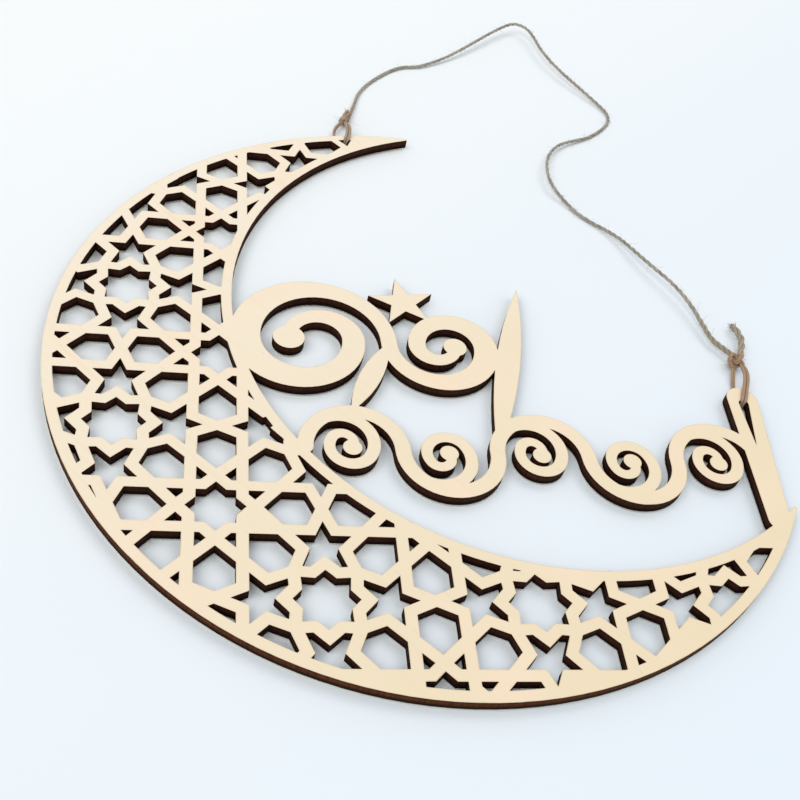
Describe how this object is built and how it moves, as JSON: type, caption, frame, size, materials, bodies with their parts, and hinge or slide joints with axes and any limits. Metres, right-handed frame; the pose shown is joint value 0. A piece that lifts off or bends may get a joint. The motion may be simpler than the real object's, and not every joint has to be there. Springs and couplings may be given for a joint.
{
  "type": "crescent ornament",
  "caption": "Flat hanging crescent of thin plywood with star fretwork, scrollwork and a star in its opening, and a jute twine tied to its upper horn and to the scrollwork for hanging.",
  "frame": {"origin": "on the table under the middle of the board and its two tie loops, board lying face up", "axes": "+X along the scrollwork's base line to the right, +Y towards the top as it hangs, +Z out of the front face"},
  "size_m": [0.2049, 0.3058, 0.0046],
  "materials": {
    "plywood": "sanded and unvarnished, with laser-burnt edges",
    "twine": "rough"
  },
  "bodies": {
    "ornament": {"board": "plywood", "left_tie_loop": "twine", "right_tie_loop": "twine", "hanging_twine": "twine", "left_tail": "twine", "right_tail": "twine", "left_knot": "twine", "right_knot": "twine"}
  },
  "joints": []
}
